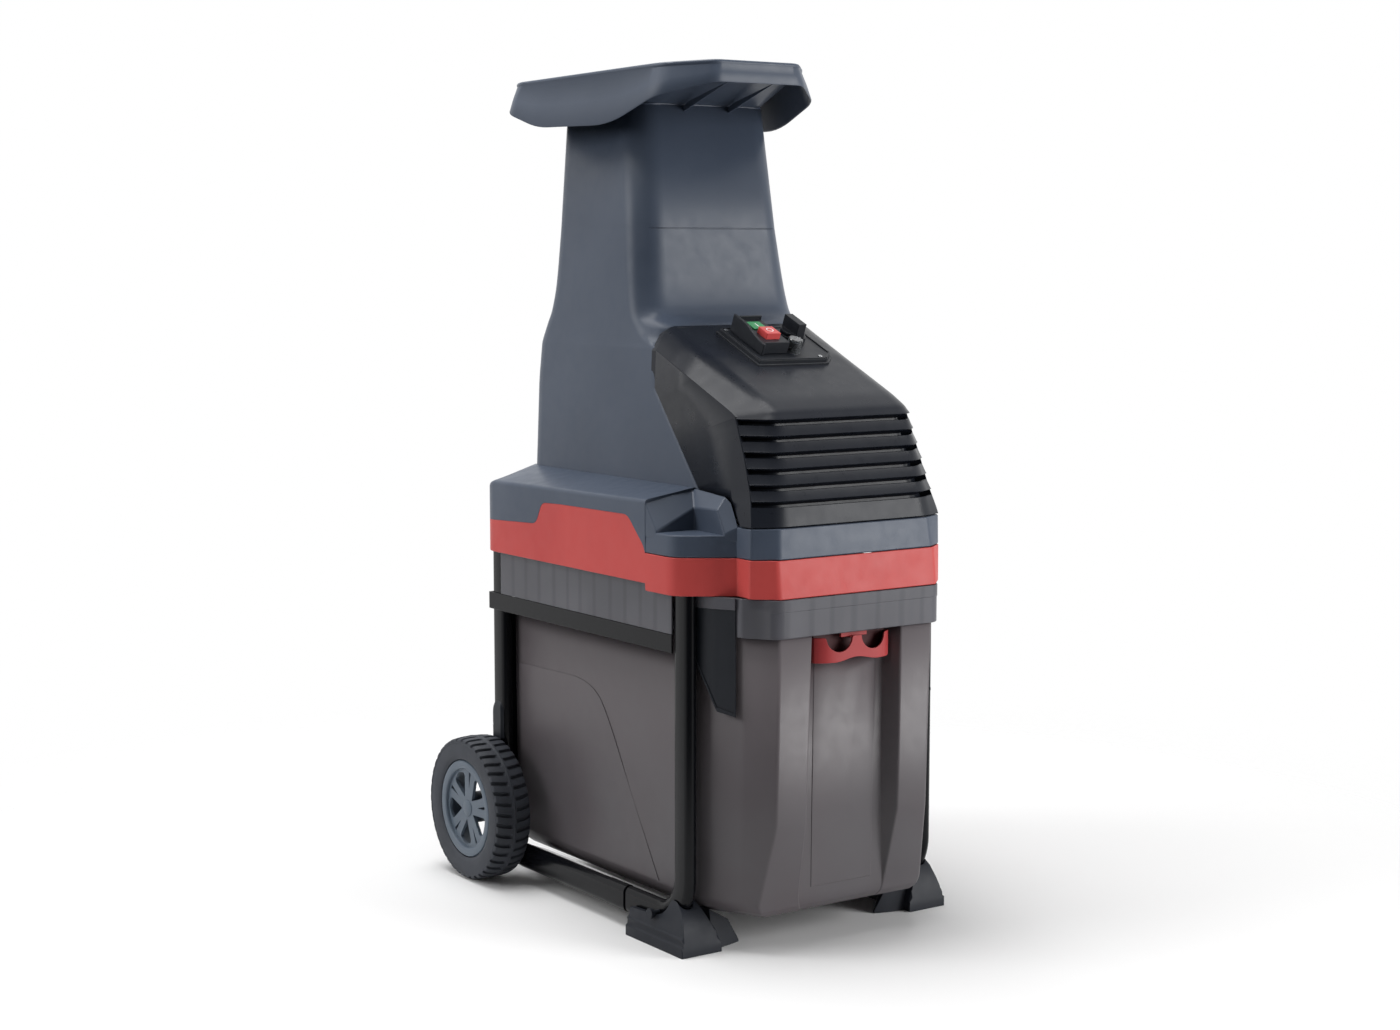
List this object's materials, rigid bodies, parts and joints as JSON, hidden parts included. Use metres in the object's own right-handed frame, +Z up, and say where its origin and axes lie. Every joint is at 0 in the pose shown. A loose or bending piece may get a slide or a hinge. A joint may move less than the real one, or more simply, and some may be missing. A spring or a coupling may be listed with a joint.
{
  "type": "electric garden shredder",
  "caption": "Upright electric garden shredder: a feed tower over a geared crushing drum and motor, on a wheeled tube frame with a pull-out collection box.",
  "frame": {"origin": "centre of the bounding box, at the ground under the feet and the wheels", "axes": "+Z up, +X to the right for someone who faces the control side, +Y to the rear where the wheels are"},
  "size_m": [0.447, 0.583, 0.98],
  "materials": {
    "housing": "satin",
    "red": "satin",
    "black": "satin",
    "smoke": "gloss",
    "tube": "gloss",
    "tyre": "matte",
    "green": "satin",
    "red_button": "satin",
    "clear": "gloss",
    "steel": "satin",
    "cast_iron": "matte",
    "cast_aluminium": "matte",
    "winding": "satin"
  },
  "bodies": {
    "chassis": {"base_ring": "red", "main_housing": "housing", "upper_front_panel": "housing", "front_cover": "black", "hopper": "housing", "feed_chute": "black", "drum_housing": "cast_aluminium", "front_drum_bearing": "steel", "rear_drum_bearing": "steel", "gearbox_housing": "cast_aluminium", "gearbox_cover": "cast_aluminium", "motor_housing": "cast_aluminium", "motor_stator": "winding", "start_capacitor": "black", "interlock_switch": "black", "mains_inlet": "black", "control_plate": "black", "switch_housing": "black", "reset_cap": "clear", "left_frame_front": "tube", "left_frame_rear": "tube", "right_frame_front": "tube", "right_frame_rear": "tube", "rear_cross_tube": "tube", "left_rail": "tube", "right_rail": "tube", "left_side_band": "smoke", "right_side_band": "smoke", "axle": "steel", "left_foot": "black", "right_foot": "black", "left_foot_bolt": "steel", "right_foot_bolt": "steel"},
    "left_wheel": {"left_tyre": "tyre", "left_rim": "housing", "left_hub_cap": "housing"},
    "right_wheel": {"right_tyre": "tyre", "right_rim": "housing", "right_hub_cap": "housing"},
    "box": {"collection_box": "smoke", "box_rim": "smoke", "left_box_shoulder": "black", "right_box_shoulder": "black"},
    "latch": {"box_latch": "red"},
    "start": {"start_button": "green"},
    "stop": {"stop_button": "red_button"},
    "selector": {"selector_knob": "black"},
    "reset": {"reset_button": "black"},
    "motor": {"motor_shaft": "steel", "motor_rotor": "steel", "cooling_fan": "black"},
    "lay": {"lay_gear": "steel", "lay_shaft": "steel"},
    "drum": {"crushing_drum": "steel", "drum_shaft": "steel", "drum_gear": "steel"},
    "adjuster": {"adjusting_screw": "steel", "adjusting_knob": "black"},
    "press": {"pressure_plate": "cast_iron"},
    "plunger": {"interlock_plunger": "steel"}
  },
  "joints": [
    {"name": "left_wheel_spin", "type": "hinge", "parent": "chassis", "child": "left_wheel", "pos_m": [-0.2, 0.2035, 0.088], "axis": [1, 0, 0], "continuous": true},
    {"name": "right_wheel_spin", "type": "hinge", "parent": "chassis", "child": "right_wheel", "pos_m": [0.2, 0.2035, 0.088], "axis": [1, 0, 0], "continuous": true},
    {"name": "box_slide", "type": "slide", "parent": "chassis", "child": "box", "axis": [0, -1, 0], "range_m": [0, 0.44]},
    {"name": "latch_slide", "type": "slide", "parent": "box", "child": "latch", "axis": [0, 0, -1], "range_m": [0, 0.025]},
    {"name": "start_press", "type": "slide", "parent": "chassis", "child": "start", "axis": [0, 0.3948, -0.9188], "range_m": [0, 0.003], "stiffness_N_per_m": 800, "springref_m": -0.001},
    {"name": "stop_press", "type": "slide", "parent": "chassis", "child": "stop", "axis": [0, 0.3948, -0.9188], "range_m": [0, 0.003], "stiffness_N_per_m": 800, "springref_m": -0.001},
    {"name": "selector_turn", "type": "hinge", "parent": "chassis", "child": "selector", "pos_m": [0.04, -0.11271, 0.67241], "axis": [0, -0.3948, 0.9188], "range_deg": [-45, 45]},
    {"name": "reset_press", "type": "slide", "parent": "chassis", "child": "reset", "axis": [0, 0.3948, -0.9188], "range_m": [0, 0.002], "stiffness_N_per_m": 500, "springref_m": -0.001},
    {"name": "motor_spin", "type": "hinge", "parent": "chassis", "child": "motor", "pos_m": [0.01, -0.1415, 0.52083], "axis": [0, 1, 0], "continuous": true},
    {"name": "lay_spin", "type": "hinge", "parent": "chassis", "child": "lay", "pos_m": [0.0431, -0.0515, 0.4995], "axis": [0, 1, 0], "continuous": true},
    {"name": "drum_spin", "type": "hinge", "parent": "chassis", "child": "drum", "pos_m": [-0.008, 0.0885, 0.47], "axis": [0, 1, 0], "continuous": true},
    {"name": "adjust_turn", "type": "hinge", "parent": "chassis", "child": "adjuster", "pos_m": [0.19, 0.0985, 0.47], "axis": [-1, 0, 0], "range_deg": [0, 1080]},
    {"name": "press_feed", "type": "slide", "parent": "chassis", "child": "press", "axis": [-1, 0, 0], "range_m": [0, 0.00525]},
    {"name": "plunger_press", "type": "slide", "parent": "chassis", "child": "plunger", "axis": [0, 0, 1], "range_m": [0, 0.003], "stiffness_N_per_m": 150, "springref_m": -0.001}
  ],
  "couplings": [
    {"joint": "lay_spin", "follows": "motor_spin", "ratio": -0.16667},
    {"joint": "drum_spin", "follows": "motor_spin", "ratio": 0.03},
    {"joint": "adjust_turn", "follows": "press_feed", "rad_per_m": 3590.4}
  ]
}
